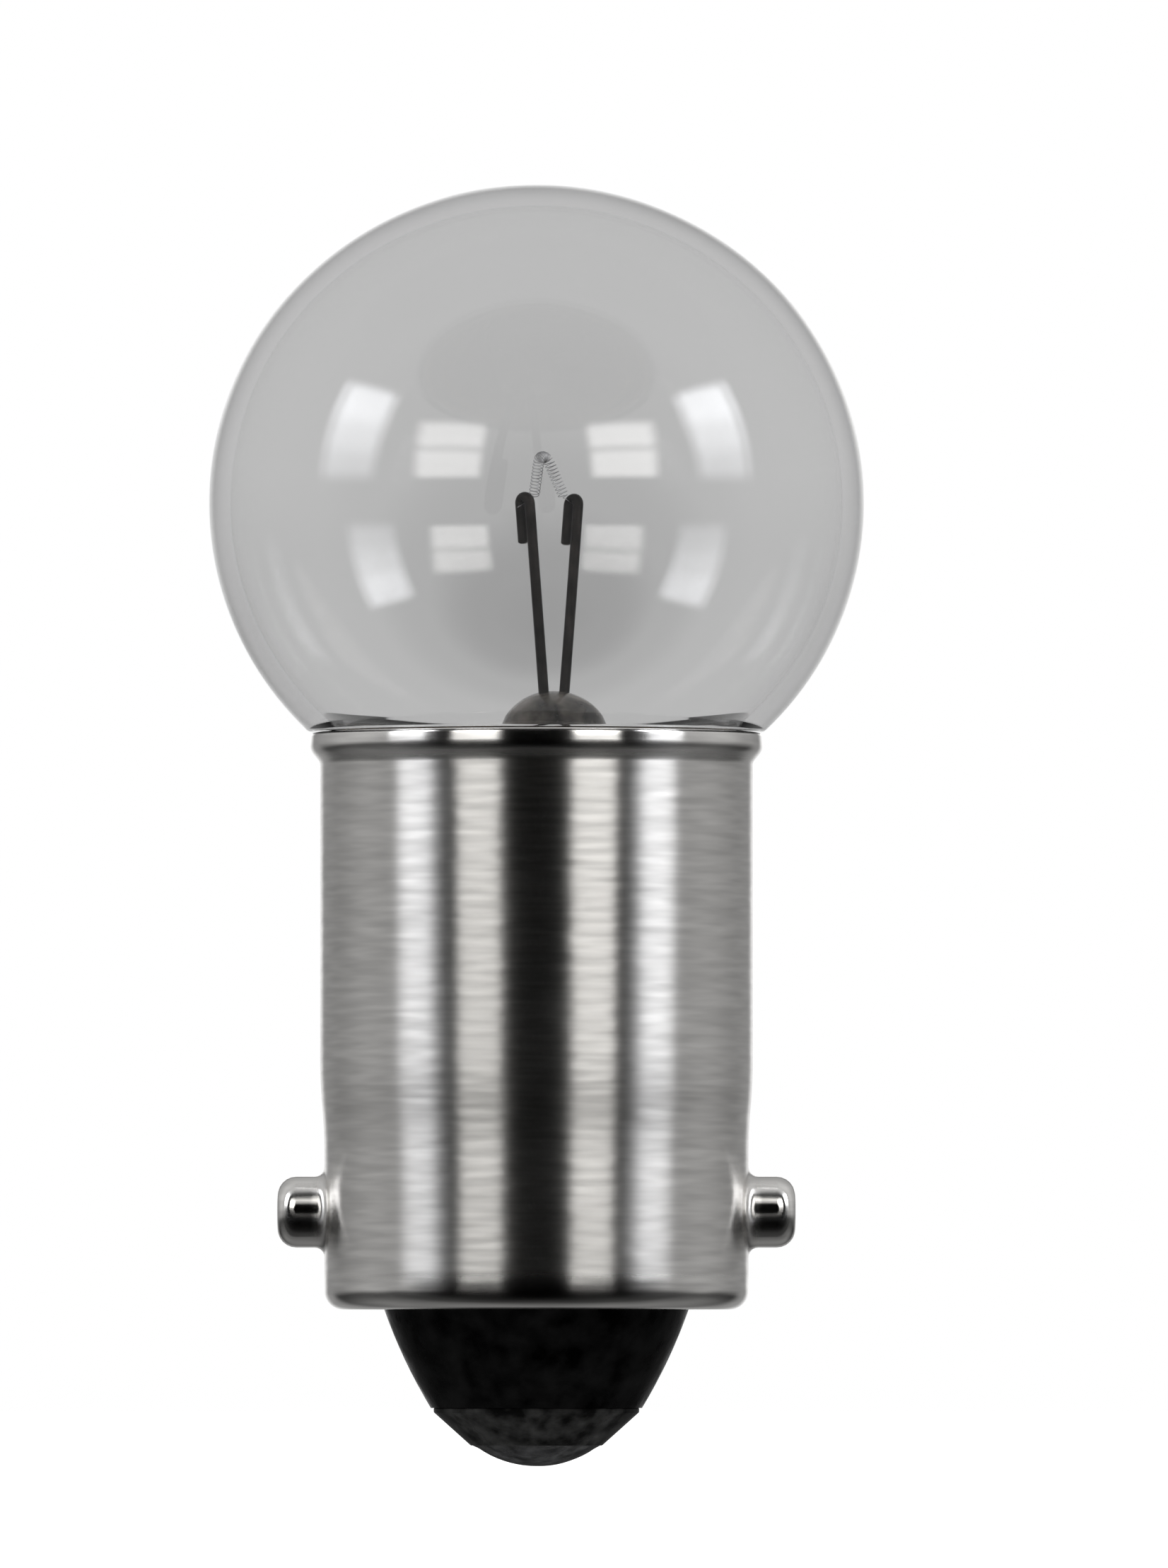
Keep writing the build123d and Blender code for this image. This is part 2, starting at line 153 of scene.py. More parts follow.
class MountSizes(bpy.types.PropertyGroup):
    """Lead wires and the filament that they hold."""

    lead_diameter: length("Lead diameter", "Thickness of a lead wire", 0.22 * MM)
    turn: angle("Mount turn", "Turn of the mount about the axis", 45)
    offset: length("Mount offset", "How far the mount stands off the axis", 0.37 * MM)
    bead_spread: length("Spread in the bead", "Half distance of the leads there", 0.29 * MM)
    clamp_spread: length("Spread at the clamps", "Half distance of the leads there", 0.735 * MM)
    clamp_rise: length("Clamp rise", "Clamps above the globe's middle", 0.11 * MM)
    clamp_fold: length("Clamp fold", "Length of the folded wire ends", 0.95 * MM)
    fold_gap: length("Fold gap", "Room for the filament's tail in a fold", 0.06 * MM)
    fold_share: ratio("Fold share", "Fold's bend radius over its width", 0.49)
    seal_spread: length("Spread in the seal", "Half distance of the leads there", 1.60 * MM)
    route_bend: length("Route bend", "Bend radius below the seal", 0.50 * MM)
    seal_bend: length("Seal bend", "Bend radius above the seal", 0.80 * MM)
    bead_bend: length("Bead bend", "Bend radius at the bead", 1.60 * MM)
    side_reach: length("Side wire reach", "Side wire's end from the axis", 4.85 * MM)
    side_height: length("Side wire height", "Height where the side wire comes out", 9.62 * MM)
    side_radius: length("Side wire radius", "Side wire's run beside the neck", 4.15 * MM)
    side_knee: length("Side wire knee", "Height of its knee above the waist", 3.60 * MM)
    side_foot: length("Side wire foot", "Its distance from the axis below the seal", 3.70 * MM)
    wire_end: length("Wire end", "Contact lead's end in the solder", -5.02 * MM)
    coil_diameter: length("Coil diameter", "Outside of the filament's coil", 0.24 * MM)
    coil_wire: length("Filament wire", "Thickness of the tungsten wire", 0.016 * MM)
    coil_pitch: length("Coil pitch", "Distance of the coil's turns in the legs", 0.075 * MM)
    top_pitch: length("Top pitch", "Distance of the coil's turns at the top", 0.022 * MM)
    coil_spread: length("Coil spread", "Half distance of the coil's feet", 0.46 * MM)
    coil_bend: length("Coil bend", "Bend radius at the coil's top", 0.16 * MM)
    coil_rise: length("Coil rise", "Coil's top above the globe's middle", 1.25 * MM)
    coil_lean: length("Coil lean", "How far the coil's top leans", 0.25 * MM)
    tail_reach: length("Tail reach", "Filament's tail past the clamp", 0.20 * MM)


class ContactSizes(bpy.types.PropertyGroup):
    """Insulator, contact eyelet, solder and cement."""

    disc_top: length("Disc top", "Top of the insulator's disc", INSULATOR_HIGH.z)
    disc_radius: length("Disc radius", "Insulator inside the foot", INSULATOR_HIGH.x)
    nose: length("Nose height", "Lowest face of the insulator's nose", INSULATOR_LOW.z)
    tip_radius: length("Cone tip radius", "Insulator at the eyelet", 2.22 * MM)
    bulge: length("Cone bulge", "Outward bow of the insulator's cone", 0.06 * MM)
    bore: length("Insulator bore", "Hole for the contact lead", 0.40 * MM)
    rim_top: length("Eyelet rim top", "Where the eyelet meets the cone", EYELET_HIGH.z)
    rim_radius: length("Eyelet radius", "Outside of the eyelet's rim", EYELET_HIGH.x)
    face: length("Eyelet face", "Lowest face of the eyelet", EYELET_LOW.z)
    rim_height: length("Rim height", "Straight band at the eyelet's rim", 0.09 * MM)
    face_radius: length("Face radius", "Where the eyelet's cone ends", 1.38 * MM)
    rim_width: length("Rim width", "Thickness of the eyelet at its rim", 0.37 * MM)
    rim_round: length("Rim rounding", "Rounding of the eyelet's edges", 0.04 * MM)
    hole: length("Eyelet hole", "Hole for the wire and its solder", 0.60 * MM)
    dome_tip: length("Dome tip", "Lowest point of the solder", DOME_LOW.z)
    dome_radius: length("Dome radius", "Edge of the solder dome", DOME_HIGH.x)
    drop_radius: length("Side solder radius", "Solder drop on the lip", 0.72 * MM)
    drop_sink: length("Side solder sink", "Drop's centre inside the wall", 0.20 * MM)
    cement_foot: length("Cement foot", "Lower end of the cement ring", CEMENT_LOW.z)
    cement_top: length("Cement top", "Upper end of the cement ring", CEMENT_HIGH.z)
    cement_radius: length("Cement radius", "Outside of the cement ring", CEMENT_HIGH.x)
    cement_slot: length("Cement slot", "Width of the side wire's slot", 0.30 * MM)


class Finishes(bpy.types.PropertyGroup):
    """Base colours of the bulb's materials."""

    clear_glass: colour("Clear glass", "Globe", (0.93, 0.93, 0.93))
    bead_glass: colour("Bead glass", "Brownish bead", (0.072, 0.064, 0.056))
    lead_wire: colour("Lead wire", "Dark drawn wire", (0.014, 0.012, 0.011))
    tungsten: colour("Tungsten", "Filament wire", (0.45, 0.45, 0.46))
    nickel: colour("Nickel", "Plating of the shell", (0.92, 0.905, 0.88))
    cement: colour("Cement", "Basing cement", (0.42, 0.31, 0.19))
    black_glass: colour("Black glass", "Insulator", (0.001, 0.001, 0.001))
    contact: colour("Contact", "Plated eyelet", (0.022, 0.022, 0.0215))
    contact_solder: colour("Contact solder", "Tarnished solder dome", (0.05, 0.05, 0.051))
    side_solder: colour("Side solder", "Dull solder drop", (0.42, 0.415, 0.41))
    floor: colour("Floor", "Pale floor", (0.9, 0.9, 0.9))


class StageSizes(bpy.types.PropertyGroup):
    """Camera, lights, floor and backdrop."""

    camera_distance: length("Camera distance", "From the aim to the camera", 0.5)
    camera_tilt: angle("Camera tilt", "Upward look of the camera", 1.4)
    view_height: length("View height", "Height of the picture at the bulb", 32.98 * MM)
    aim_side: length("Aim to the side", "Aim right of the bulb's axis", 1.0 * MM)
    aim_height: length("Aim height", "Aim above the pins' axis", 9.0 * MM)
    light_distance: length("Light distance", "From the bulb to the soft boxes", 0.08)
    floor_radius: length("Floor radius", "Size of the round floor", 0.6)
    floor_glow: ratio("Floor glow", "Light that the floor gives of itself", 0.85)
    # Height and half width of the painted shade patch on the backdrop behind the globe
    painted_shade_rise: angle("Patch rise", "Height of the backdrop's dark patch", 0.65)
    painted_shade_reach: angle("Patch reach", "Half width of the backdrop's dark patch", 4.0)


class SmoothSettings(bpy.types.PropertyGroup):
    """Fineness of the meshes."""

    segments: number("Segments", "Sides of a turned piece", 192, least=48)
    wire_sides: number("Wire sides", "Sides of a lead wire", 20)
    coil_sides: number("Coil sides", "Sides of the filament wire", 10)
    coil_steps: number("Coil steps", "Steps in a turn of the coil", 16)
    bead_sides: number("Bead sides", "Sides of the glass bead", 72)
    drop_sides: number("Drop sides", "Sides of the side solder", 64)
    pin_rows: number("Pin rows", "Rows of the wall's patch round a pin", 16)
    cement_rows: number("Cement rows", "Rows up the cement ring", 12)
    sharp_angle: angle("Sharp angle", "Edges that turn by more than this stay sharp", 38)


# Outlines: lists of (radius, height) points in the plane of a turned piece


def arc(centre, radius, start, end, step=4.0):
    """Points of an arc from one angle to another, in degrees, both ends included."""
    count = max(2, ceil(abs(end - start) / step))
    turns = [radians(start + (end - start) * k / count) for k in range(count + 1)]
    return [(centre[0] + radius * cos(t), centre[1] + radius * sin(t)) for t in turns]


def rounded(corners):
    """Outline through (radius, height, rounding) corners; the first and last stay sharp."""
    points = [Vector(c[:2]) for c in corners]
    outline = [tuple(points[0])]
    for before, here, after, (_, _, radius) in zip(points, points[1:], points[2:], corners[1:]):
        into, out = (here - before).normalized(), (after - here).normalized()
        turn = into.angle_signed(out)
        if radius <= 0 or abs(turn) < 1e-6:
            outline.append(tuple(here))
            continue
        reach = radius * tan(abs(turn) / 2)
        side = 1 if turn < 0 else -1
        normal = Vector((-into.y, into.x)) * side
        centre = here - into * reach + normal * radius
        start = degrees(atan2(-normal.y, -normal.x))
        outline += arc(centre, radius, start, start - degrees(turn), 6.0)
    outline.append(tuple(points[-1]))
    return outline


def cap_radius(base, height):
    """Radius of the sphere whose cap has this base radius and height."""
    return (base**2 + height**2) / (2 * height)


def cap(base, z_base, z_tip):
    """Round cap on the axis, from its base circle to its tip below."""
    radius = cap_radius(base, z_base - z_tip)
    half = degrees(asin(base / radius))
    if z_base - z_tip > radius:
        half = 180 - half
    return arc((0, z_tip + radius), radius, half - 90, -90)


def waist_bend(start, end):
    """Two equal arcs that join one upright line to a wider one above it."""
    wider, taller = end[0] - start[0], end[1] - start[1]
    radius = (wider**2 + taller**2) / (4 * wider)
    turn = degrees(asin(taller / 2 / radius))
    lower = arc((start[0] + radius, start[1]), radius, 180, 180 - turn, 1.0)
    return lower + arc((end[0] - radius, end[1]), radius, -turn, 0, 1.0)[1:]


def evenly(first, last, count):
    """Heights from first to last, both included."""
    return [first + (last - first) * k / count for k in range(count + 1)]


# Meshes


def turn_outline(bm, outline, segments, span=(0.0, tau), inside=False):
    """Sweeps an outline round Z. An outline that isn't closed by the axis is a closed loop."""
    whole = abs(span[1] - span[0] - tau) < 1e-9
    steps = segments if whole else segments + 1
    turns = [span[0] + (span[1] - span[0]) * k / segments for k in range(steps)]
    on_axis = outline[0][0] < 1e-9 and outline[-1][0] < 1e-9
    grid = []
    for radius, height in outline:
        if on_axis and radius < 1e-9:
            grid.append([bm.verts.new((0, 0, height))] * steps)
        else:
            grid.append([bm.verts.new((radius * cos(t), radius * sin(t), height)) for t in turns])
    faces = []
    rows = list(zip(grid, grid[1:])) if on_axis else list(zip(grid, grid[1:] + grid[:1]))
    for low, high in rows:
        for k in range(segments):
            n = (k + 1) % steps
            corners = [low[k], low[n], high[n], high[k]]
            faces.append(bm.faces.new(list(dict.fromkeys(corners))))
    if not whole:
        faces.append(bm.faces.new([row[0] for row in grid]))
        faces.append(bm.faces.new([row[-1] for row in grid]))
    bmesh.ops.recalc_face_normals(bm, faces=faces)
    if inside:
        bmesh.ops.reverse_faces(bm, faces=faces)
    return grid


def bent_wire(points, bends, step=9.0):
    """Straight runs joined by tangent arcs, one bend radius for each inner point."""
    route = [points[0]]
    for before, here, after, bend in zip(points, points[1:], points[2:], bends):
        into, out = (here - before).normalized(), (after - here).normalized()
        turn = into.angle(out)
        axis = into.cross(out)
        if bend <= 0 or turn < 1e-5:
            route.append(here)
            continue
        axis.normalize()
        start = here - into * bend * tan(turn / 2)
        centre = start + axis.cross(into) * bend
        count = max(2, ceil(degrees(turn) / step))
        route += [centre + Quaternion(axis, turn * k / count) @ (start - centre) for k in range(count + 1)]
    route.append(points[-1])
    return route


def sweep_wire(bm, route, radius, sides):
    """Round wire along a route, with both ends rounded off."""
    ahead = [(b - a).normalized() for a, b in zip(route, route[1:])]
    along = [ahead[0]] + [(a + b).normalized() for a, b in zip(ahead, ahead[1:])] + [ahead[-1]]
    across = along[0].orthogonal().normalized()
    rings = []
    for place, direction, last in zip(route, along, along[:1] + along[:-1]):
        across = last.rotation_difference(direction) @ across
        across = (across - direction * across.dot(direction)).normalized()
        rings.append((place, direction, across.copy(), radius))
    first, last = rings[0], rings[-1]
    rounding = [(0.55, 0.30), (0.85, 0.12)]  # width and reach of the end rings, over the wire's radius
    head = [(first[0] - first[1] * radius * out, *first[1:3], radius * wide) for wide, out in rounding]
    rounding.reverse()
    tail = [(last[0] + last[1] * radius * out, *last[1:3], radius * wide) for wide, out in rounding]
    loops = []
    for place, direction, side, width in head + rings + tail:
        other = direction.cross(side)
        turns = [tau * k / sides for k in range(sides)]
        loops.append([bm.verts.new(place + (side * cos(t) + other * sin(t)) * width) for t in turns])
    faces = [bm.faces.new(loops[0]), bm.faces.new(loops[-1])]
    for low, high in zip(loops, loops[1:]):
        for k in range(sides):
            n = (k + 1) % sides
            faces.append(bm.faces.new((low[k], low[n], high[n], high[k])))
    bmesh.ops.recalc_face_normals(bm, faces=faces)


def roughen(bm, size, depth, seed, top=inf):
    """Pushes the points below a height in by smooth noise, as melted surfaces have it."""
    bm.normal_update()
    shift = Vector((seed, 2 * seed, 3 * seed))
    free = [v for v in bm.verts if v.co.z < top]
    moves = [(v, v.normal * depth * 0.5 * (noise.noise(v.co / size + shift) - 1)) for v in free]
    for vert, move in moves:
        vert.co += move


def make_piece(name, bm, finish, slot, *nodes):
    """Turns a mesh into a piece of the bulb that stands for its construction nodes."""
    mesh = bpy.data.meshes.new(name)
    bm.to_mesh(mesh)
    bm.free()
    mesh.shade_smooth()
    mesh.set_sharp_from_angle(angle=bpy.context.scene.bulb_smooth.sharp_angle)
    mesh.materials.append(finish)
    piece = bpy.data.objects.new(name, mesh)
    bpy.context.scene.collection.objects.link(piece)
    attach(piece, "root")
    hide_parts(*nodes)
    return piece


# Finishes: node materials in object space


def node(tree, kind, **settings):
    """New shader node with its settings."""
    made = tree.nodes.new("ShaderNode" + kind)
    for key, value in settings.items():
        setattr(made, key, value)
    return made


def new_finish(name, base, metallic=0.0, roughness=0.3, **sockets):
    """Material with one surface shader, its constant values set on the shader's own sockets."""
    material = bpy.data.materials.new(name)
    material.use_nodes = True
    tree = material.node_tree
    shader = tree.nodes["Principled BSDF"]
    shader.inputs["Base Color"].default_value = (*base, 1.0)
    shader.inputs["Metallic"].default_value = metallic
    shader.inputs["Roughness"].default_value = roughness
    for socket, value in sockets.items():
        shader.inputs[socket.replace("_", " ")].default_value = value
    return material, tree, shader


def grain(tree, scale, detail=4.0, stretch=(1, 1, 1)):
    """Noise in the bulb's own space, with scale in waves to the metre."""
    place = node(tree, "TexCoord")
    mapping = node(tree, "Mapping")
    mapping.inputs["Scale"].default_value = stretch
    texture = node(tree, "TexNoise")
    texture.inputs["Scale"].default_value = scale
    texture.inputs["Detail"].default_value = detail
    tree.links.new(place.outputs["Object"], mapping.inputs["Vector"])
    tree.links.new(mapping.outputs["Vector"], texture.inputs["Vector"])
    return texture.outputs["Fac"]


def spread(tree, source, low, high, start=0.3, end=0.7):
    """Maps a noise to a range of values."""
    mapped = node(tree, "MapRange")
    mapped.inputs["From Min"].default_value = start
    mapped.inputs["From Max"].default_value = end
    mapped.inputs["To Min"].default_value = low
    mapped.inputs["To Max"].default_value = high
    tree.links.new(source, mapped.inputs["Value"])
    return mapped.outputs["Result"]


def blend_colours(tree, source, first, second):
    """Goes from one colour to another along a noise."""
    ramp = node(tree, "ValToRGB")
    ramp.color_ramp.elements[0].position = 0.35
    ramp.color_ramp.elements[1].position = 0.68
    ramp.color_ramp.elements[0].color = (*first, 1.0)
    ramp.color_ramp.elements[1].color = (*second, 1.0)
    tree.links.new(source, ramp.inputs["Fac"])
    return ramp.outputs["Color"]


def tone_ramp(tree, source, tones):
    """Grey along a value, as (position, tone) pairs in order from position 0 to position 1."""
    ramp = node(tree, "ValToRGB")
    ramp.color_ramp.interpolation = "EASE"
    stops = ramp.color_ramp.elements
    for position, _ in tones[1:-1]:
        stops.new(position)
    for stop, (_, tone) in zip(stops, tones):
        stop.color = (tone, tone, tone, 1.0)
    tree.links.new(source, ramp.inputs["Fac"])
    return ramp.outputs["Color"]


def times(tree, first, second):
    """Product of two values."""
    product = node(tree, "Math", operation="MULTIPLY")
    tree.links.new(first, product.inputs[0])
    tree.links.new(second, product.inputs[1])
    return product.outputs["Value"]


def raise_surface(tree, shader, heights):
    """Chains bumps, each a (noise, height in metres) pair, into the shader's normal."""
    normal = None
    for source, distance in heights:
        bump = node(tree, "Bump")
        bump.inputs["Strength"].default_value = 1.0
        bump.inputs["Distance"].default_value = distance
        tree.links.new(source, bump.inputs["Height"])
        if normal is not None:
            tree.links.new(normal, bump.inputs["Normal"])
        normal = bump.outputs["Normal"]
    tree.links.new(normal, shader.inputs["Normal"])


def shade(base, share):
    """A darker or lighter tone of a colour."""
    return tuple(min(1.0, c * share) for c in base)


def worn_finish(name, base, wear, tones, bumps, gloss=None, **sockets):
    """Finish whose tone follows one noise, and its roughness too where gloss gives a range.

    Wear is the noise's (scale, detail), tones are shares of the base colour,
    and each bump is a (scale, detail, height in metres) of its own.
    """
    material, tree, shader = new_finish(name, base, **sockets)
    marks = grain(tree, *wear)
    dark, light = [shade(base, share) for share in tones]
    tree.links.new(blend_colours(tree, marks, dark, light), shader.inputs["Base Color"])
    if gloss:
        tree.links.new(spread(tree, marks, *gloss), shader.inputs["Roughness"])
    heights = [(grain(tree, scale, detail), height) for scale, detail, height in bumps]
    raise_surface(tree, shader, heights)
    return material


def clear_glass_finish(base):
    """Blown glass: almost smooth, with faint waves and a little haze."""
    optics = {"IOR": 1.44, "Transmission_Weight": 1.0}
    material, tree, shader = new_finish("clear_glass", base, roughness=0.0, **optics)
    haze = spread(tree, grain(tree, 900, 3), 0.0, 0.02)
    tree.links.new(haze, shader.inputs["Roughness"])
    raise_surface(tree, shader, [(grain(tree, 260, 1), 0.01 * MM)])
    return material


def bead_glass_finish(base):
    """Brownish glass, melted round the wires and almost opaque."""
    optics = {"roughness": 0.12, "IOR": 1.5, "Transmission_Weight": 0.05}
    bumps = [(1500, 3, 0.04 * MM)]
    return worn_finish("bead_glass", base, wear=(1500, 3), tones=(0.06, 2.4), bumps=bumps, **optics)


def wire_finish(name, base, roughness):
    """Drawn wire with fine marks along it and patches of oxide."""
    material, tree, shader = new_finish(name, base, metallic=1.0, roughness=roughness)
    oxide = blend_colours(tree, grain(tree, 2500, 6), shade(base, 0.6), shade(base, 1.5))
    tree.links.new(oxide, shader.inputs["Base Color"])
    marks = grain(tree, 20000, 3, stretch=(1, 1, 0.08))
    worn = spread(tree, marks, roughness * 0.8, roughness * 1.3)
    tree.links.new(worn, shader.inputs["Roughness"])
    raise_surface(tree, shader, [(marks, 0.004 * MM)])
    return material


def nickel_finish(base, lip, pins, foot):
    """Bright plating with fine lines round the wall; smoother on the lip, the pins and the foot's edge.

    Lip and foot are the heights, and pins the distances from the axis, between which that changes.
    """
    brushed = {"Anisotropic": 1.0, "Anisotropic_Rotation": 0.25}
    material, tree, shader = new_finish("nickel_plate", base, metallic=1.0, roughness=0.28, **brushed)
    tangent = node(tree, "Tangent", direction_type="RADIAL", axis="Z")
    tree.links.new(tangent.outputs["Tangent"], shader.inputs["Tangent"])
    lines = grain(tree, 1.0, 0, stretch=(900, 900, 5000))
    scratches = grain(tree, 1.0, 1, stretch=(700, 700, 7000))
    tone = blend_colours(tree, scratches, shade(base, 0.88), shade(base, 1.04))
    tree.links.new(tone, shader.inputs["Base Color"])
    place = node(tree, "TexCoord")
    split = node(tree, "SeparateXYZ")
    tree.links.new(place.outputs["Object"], split.inputs["Vector"])
    aside = node(tree, "Math", operation="ABSOLUTE")
    tree.links.new(split.outputs["X"], aside.inputs[0])
    polish = spread(tree, grain(tree, 700, 5), 0.285, 0.33)
    for source, low, high, reach in (
        (split.outputs["Z"], 1.0, 0.6, lip),
        (split.outputs["Z"], 0.5, 1.0, foot),
        (aside.outputs["Value"], 1.0, 0.5, pins),
    ):
        polish = times(tree, polish, spread(tree, source, low, high, *reach))
    tree.links.new(polish, shader.inputs["Roughness"])
    raise_surface(tree, shader, [(grain(tree, 250, 0), 0.015 * MM), (lines, 0.008 * MM)])
    return material


def cement_finish(base):
    """Grainy cement."""
    bumps = [(4000, 6, 0.06 * MM)]
    return worn_finish("cement", base, wear=(3000, 6), tones=(0.7, 1.25), bumps=bumps, roughness=0.9)


def black_glass_finish(base):
    """Opaque black glass with shallow pits and dull patches."""
    marks = {"wear": (1600, 5), "tones": (0.3, 4.0), "gloss": (0.2, 0.45)}
    bumps = [(700, 2, 0.05 * MM), (6000, 3, 0.006 * MM)]
    sheen = {"roughness": 0.3, "Specular_IOR_Level": 0.06}
    return worn_finish("black_glass", base, bumps=bumps, **marks, **sheen)


def contact_finish(base):
    """Worn plating of the contact cup."""
    marks = {"wear": (2200, 6), "tones": (0.25, 2.4), "gloss": (0.3, 0.5)}
    bumps = [(5000, 4, 0.008 * MM)]
    plate = {"metallic": 0.6, "roughness": 0.4, **DULL}
    return worn_finish("contact_metal", base, bumps=bumps, **marks, **plate)


def solder_finish(name, base, **sockets):
    """Solder, frosted where it froze."""
    frost = {"wear": (3000, 6), "tones": (0.5, 1.6), "gloss": (0.4, 0.62)}
    bumps = [(1200, 3, 0.05 * MM), (3000, 6, 0.01 * MM)]
    return worn_finish(name, base, bumps=bumps, roughness=0.5, **frost, **sockets)


# Heights and places that several pieces share


def shoulder_height(scene):
    """Flat underside of the globe, just above the lip."""
    return scene.bulb_shell.rise + scene.bulb_glass.lip_gap


def globe_middle(scene):
    """Height of the globe's widest circle."""
    glass = scene.bulb_glass
    return glass.top - glass.radius + glass.flat


def bead_middle(scene):
    """Height of the bead's centre."""
    return shoulder_height(scene) - scene.bulb_glass.bead_drop


def nose_radii(contact):
    """Radii of the insulator's nose in the eyelet, at its top and at its lowest face."""
    cone = contact.rim_top - contact.rim_height - contact.face
    taper = (contact.rim_radius - contact.face_radius) / cone
    top = contact.rim_radius - contact.rim_width
    return top, top - taper * (contact.rim_top - contact.nose)


class MountPlan:
    """Directions and points of the wire mount, worked out from its sizes."""

    def __init__(self, scene):
        self.sizes = scene.bulb_mount
        self.scene = scene
        turn = self.sizes.turn
        self.across = Vector((cos(turn), sin(turn), 0))
        self.fold = Vector((-sin(turn), cos(turn), 0))
        self.fold_step = self.sizes.lead_diameter + self.sizes.fold_gap
        self.clamp_top = globe_middle(scene) + self.sizes.clamp_rise

    def axis_point(self, reach, rise):
        """Point in the mount's upright plane, measured from the bulb's axis."""
        return self.across * reach + Vector((0, 0, rise))

    def point(self, reach, rise, aside=0.0):
        """Point on the mount, which stands a little to one side of the axis."""
        return self.axis_point(reach, rise) + self.fold * aside + Vector((self.sizes.offset, 0, 0))

    def clamp_route(self, side):
        """Upper route of a lead: seal, bead, clamp and the end folded down beside it."""
        m, glass = self.sizes, self.scene.bulb_glass
        seal_floor = shoulder_height(self.scene) - glass.neck_length + glass.seal
        bead = bead_middle(self.scene)
        above_seal = self.axis_point(side * m.seal_spread, seal_floor + glass.seal_corner)
        below_bead = self.point(side * m.bead_spread, bead - glass.bead_radius - m.lead_diameter)
        bead_top = self.point(side * m.bead_spread, bead + glass.bead_radius - m.lead_diameter)
        bend = self.point(side * m.clamp_spread, self.clamp_top)
        folded = bend + self.fold * self.fold_step
        run = (bend - bead_top).normalized()
        return [above_seal, below_bead, bead_top, bend, folded, folded - run * m.clamp_fold]

    def clamp_bends(self):
        """Bend radii of the upper route."""
        m = self.sizes
        fold_bend = m.fold_share * self.fold_step
        return [m.seal_bend, m.bead_bend, m.bead_bend, fold_bend, fold_bend]


class BULB_OT_globe(bpy.types.Operator):
    """Blown glass globe with its neck, seal and tipped-off stub, hollow inside"""

    bl_idname = "bulb.globe"
    bl_label = "Glass globe"

    def execute(self, context):
        scene = context.scene
        g = scene.bulb_glass
        segments = scene.bulb_smooth.segments
        shoulder = shoulder_height(scene)
        middle = globe_middle(scene)
        seal_foot = shoulder - g.neck_length
        stub_shoulder = g.stub_tip + g.stub_cap
        outline = self.round_part(g, middle, 0.0, shoulder, g.edge, 10.0)
        outline += rounded(
            [
                (outline[-1][0], shoulder, 0),
                (g.neck_radius, shoulder, g.neck_fillet),
                (g.neck_radius, seal_foot, g.neck_corner),
                (g.stub_radius, seal_foot, g.stub_fillet),
                (g.stub_radius, stub_shoulder, 0),
            ]
        )[1:]
        outline += cap(g.stub_radius, stub_shoulder, g.stub_tip)[1:]
        hollow = self.hollow(g, shoulder, middle, seal_foot, stub_shoulder)
        bm = bmesh.new()
        for skin, inside in ((outline, False), (hollow, True)):
            skin[0], skin[-1] = (0, skin[0][1]), (0, skin[-1][1])
            turn_outline(bm, skin, segments, inside=inside)
        finish = clear_glass_finish(scene.bulb_finish.clear_glass)
        make_piece("globe_glass", bm, finish, "clear_glass", "glass_globe")
        return {"FINISHED"}

    def round_part(self, g, middle, inset, floor, edge, edge_step):
        """Crown, side and rounded lower edge of the globe, set in by a wall, as far as a level floor."""
        shift = g.flat * (1 + sin(radians(CROWN_JOINT)))
        side_radius = g.radius - shift - inset
        crown_radius = g.radius - g.flat + shift - inset
        drop = middle - floor - edge
        edge_radius = shift + sqrt((side_radius - edge) ** 2 - drop**2)
        edge_turn = -degrees(atan2(drop, edge_radius - shift))
        outline = arc((0, middle - shift), crown_radius, 90, CROWN_JOINT, 2.0)
        outline += arc((shift, middle), side_radius, CROWN_JOINT, edge_turn, 2.0)[1:]
        return outline + arc((edge_radius, floor + edge), edge, edge_turn, -90, edge_step)[1:]

    def hollow(self, g, shoulder, middle, seal_foot, stub_shoulder):
        """Outline of the hollow: evenly walled globe, rounded mouth, neck and the stub's bore."""
        seal_floor = seal_foot + g.seal
        neck_inner = g.neck_radius - g.neck_wall
        floor = shoulder + g.mouth_wall
        mouth = (neck_inner + g.mouth_round, floor - g.mouth_round)
        outline = self.round_part(g, middle, g.wall, floor, g.floor_round, 6.0)
        outline += arc(mouth, g.mouth_round, 90, 180, 6.0)
        outline += rounded(
            [
                (neck_inner, shoulder - g.mouth_round, 0),
                (neck_inner, seal_floor, g.seal_corner),
                (g.stub_bore, seal_floor, 0),
                (g.stub_bore, stub_shoulder, 0),
            ]
        )
        return outline + cap(g.stub_bore, stub_shoulder, g.stub_tip + g.stub_cap_wall)[1:]


class BULB_OT_bead(bpy.types.Operator):
    """Small glass bead that holds both leads"""

    bl_idname = "bulb.bead"
    bl_label = "Glass bead"

    def execute(self, context):
        scene = context.scene
        g = scene.bulb_glass
        plan = MountPlan(scene)
        outline = arc((0, 0), g.bead_radius, 90, -90, 4.0)
        outline[0], outline[-1] = (0, g.bead_radius), (0, -g.bead_radius)
        bm = bmesh.new()
        turn_outline(bm, outline, scene.bulb_smooth.bead_sides)
        roughen(bm, size=0.9 * MM, depth=0.05 * MM, seed=3.0)
        bmesh.ops.translate(bm, verts=bm.verts, vec=plan.point(0, bead_middle(scene)))
        finish = bead_glass_finish(scene.bulb_finish.bead_glass)
        make_piece("bead", bm, finish, "bead_glass", "glass_bead")
        return {"FINISHED"}


